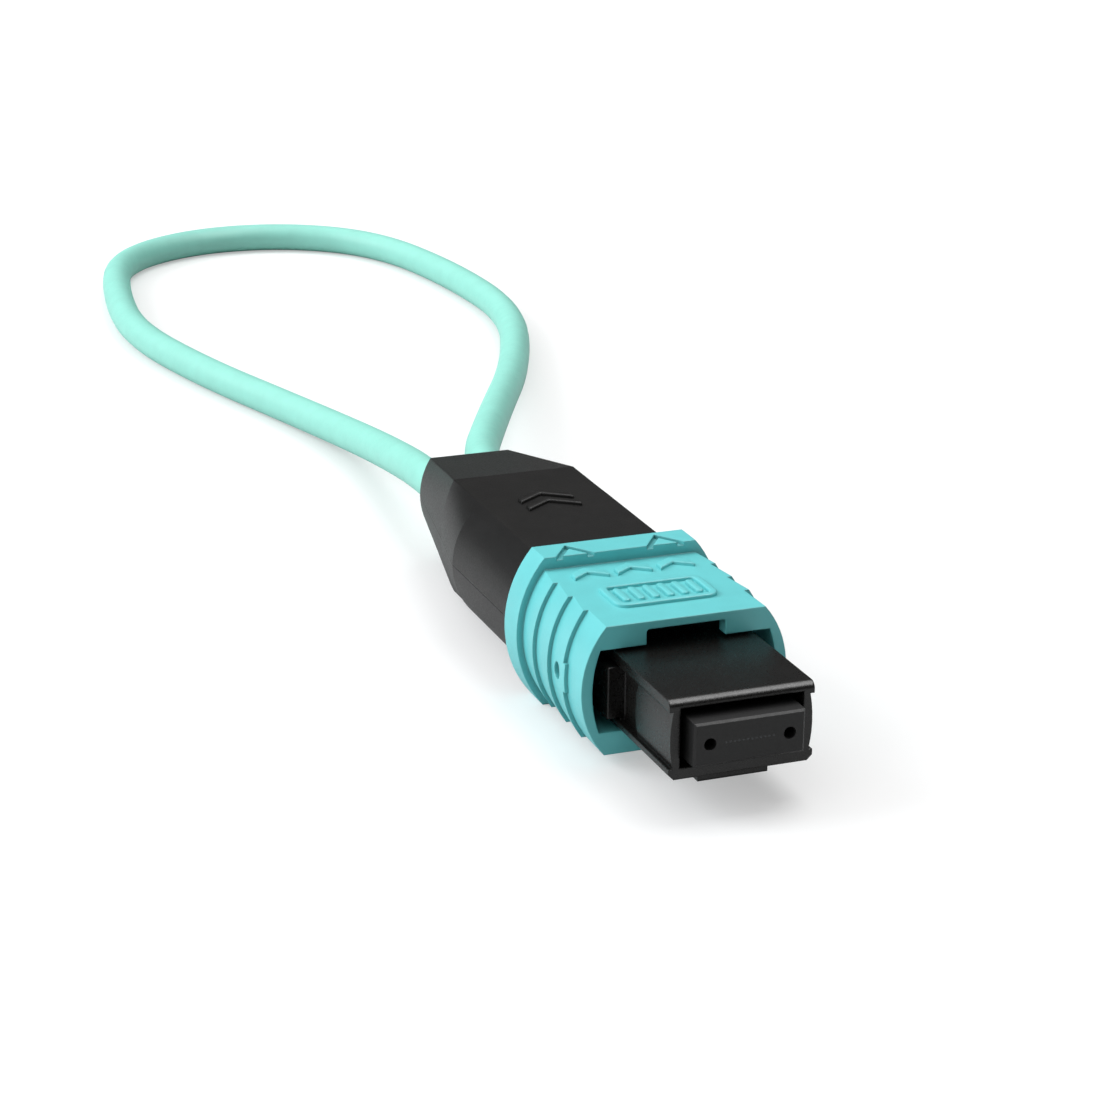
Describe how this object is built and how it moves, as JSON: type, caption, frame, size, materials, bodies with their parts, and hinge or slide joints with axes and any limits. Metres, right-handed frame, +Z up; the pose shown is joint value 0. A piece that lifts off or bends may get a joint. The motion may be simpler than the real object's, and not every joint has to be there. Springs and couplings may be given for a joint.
{
  "type": "mpo fibre connector",
  "caption": "Pinless multi-fibre push-pull connector with an aqua pull sleeve and a black tapered rear shell whose aqua cable loops back into it.",
  "frame": {"origin": "middle of the ferrule's end face", "axes": "+Y back along the connector to the cable, so the plug points to -Y; +Z up with the key underneath; +X to the viewer's right when the rear is seen behind the plug"},
  "size_m": [0.0335, 0.1312, 0.009],
  "materials": {
    "ferrule": "fine matte, glass-filled",
    "fibre": "polished",
    "soft_boot": "soft matte",
    "keeper": "matte",
    "spring_steel": "drawn wire",
    "black_plastic": "satin moulded",
    "aqua_plastic": "satin moulded",
    "shell_plastic": "fine spark-eroded matte",
    "ribbon": "clear coated",
    "collar_metal": "turned",
    "cable_jacket": "satin extruded"
  },
  "bodies": {
    "connector_body": {"inner_housing": "black_plastic", "spring_push": "black_plastic", "upper_shell": "shell_plastic", "lower_shell": "shell_plastic", "ferrule_spring": "spring_steel", "sleeve_spring_left": "spring_steel", "sleeve_spring_right": "spring_steel", "fibre_ribbon": "ribbon", "jacket_collar_left": "collar_metal", "jacket_collar_right": "collar_metal", "cable_loop": "cable_jacket"},
    "ferrule": {"mt_ferrule": "ferrule", "fibre_array": "fibre", "ferrule_boot": "soft_boot", "pin_keeper": "keeper"},
    "pull_sleeve": {"coupling_sleeve": "aqua_plastic"}
  },
  "joints": [
    {"name": "ferrule_slide", "type": "slide", "parent": "connector_body", "child": "ferrule", "axis": [0, 1, 0], "range_m": [0, 0.0008], "stiffness_N_per_m": 1000, "springref_m": -0.003, "deforming": ["ferrule_spring", "fibre_ribbon"]},
    {"name": "sleeve_slide", "type": "slide", "parent": "connector_body", "child": "pull_sleeve", "axis": [0, 1, 0], "range_m": [0, 0.002], "stiffness_N_per_m": 800, "springref_m": -0.001, "deforming": ["sleeve_spring_left", "sleeve_spring_right"]}
  ]
}
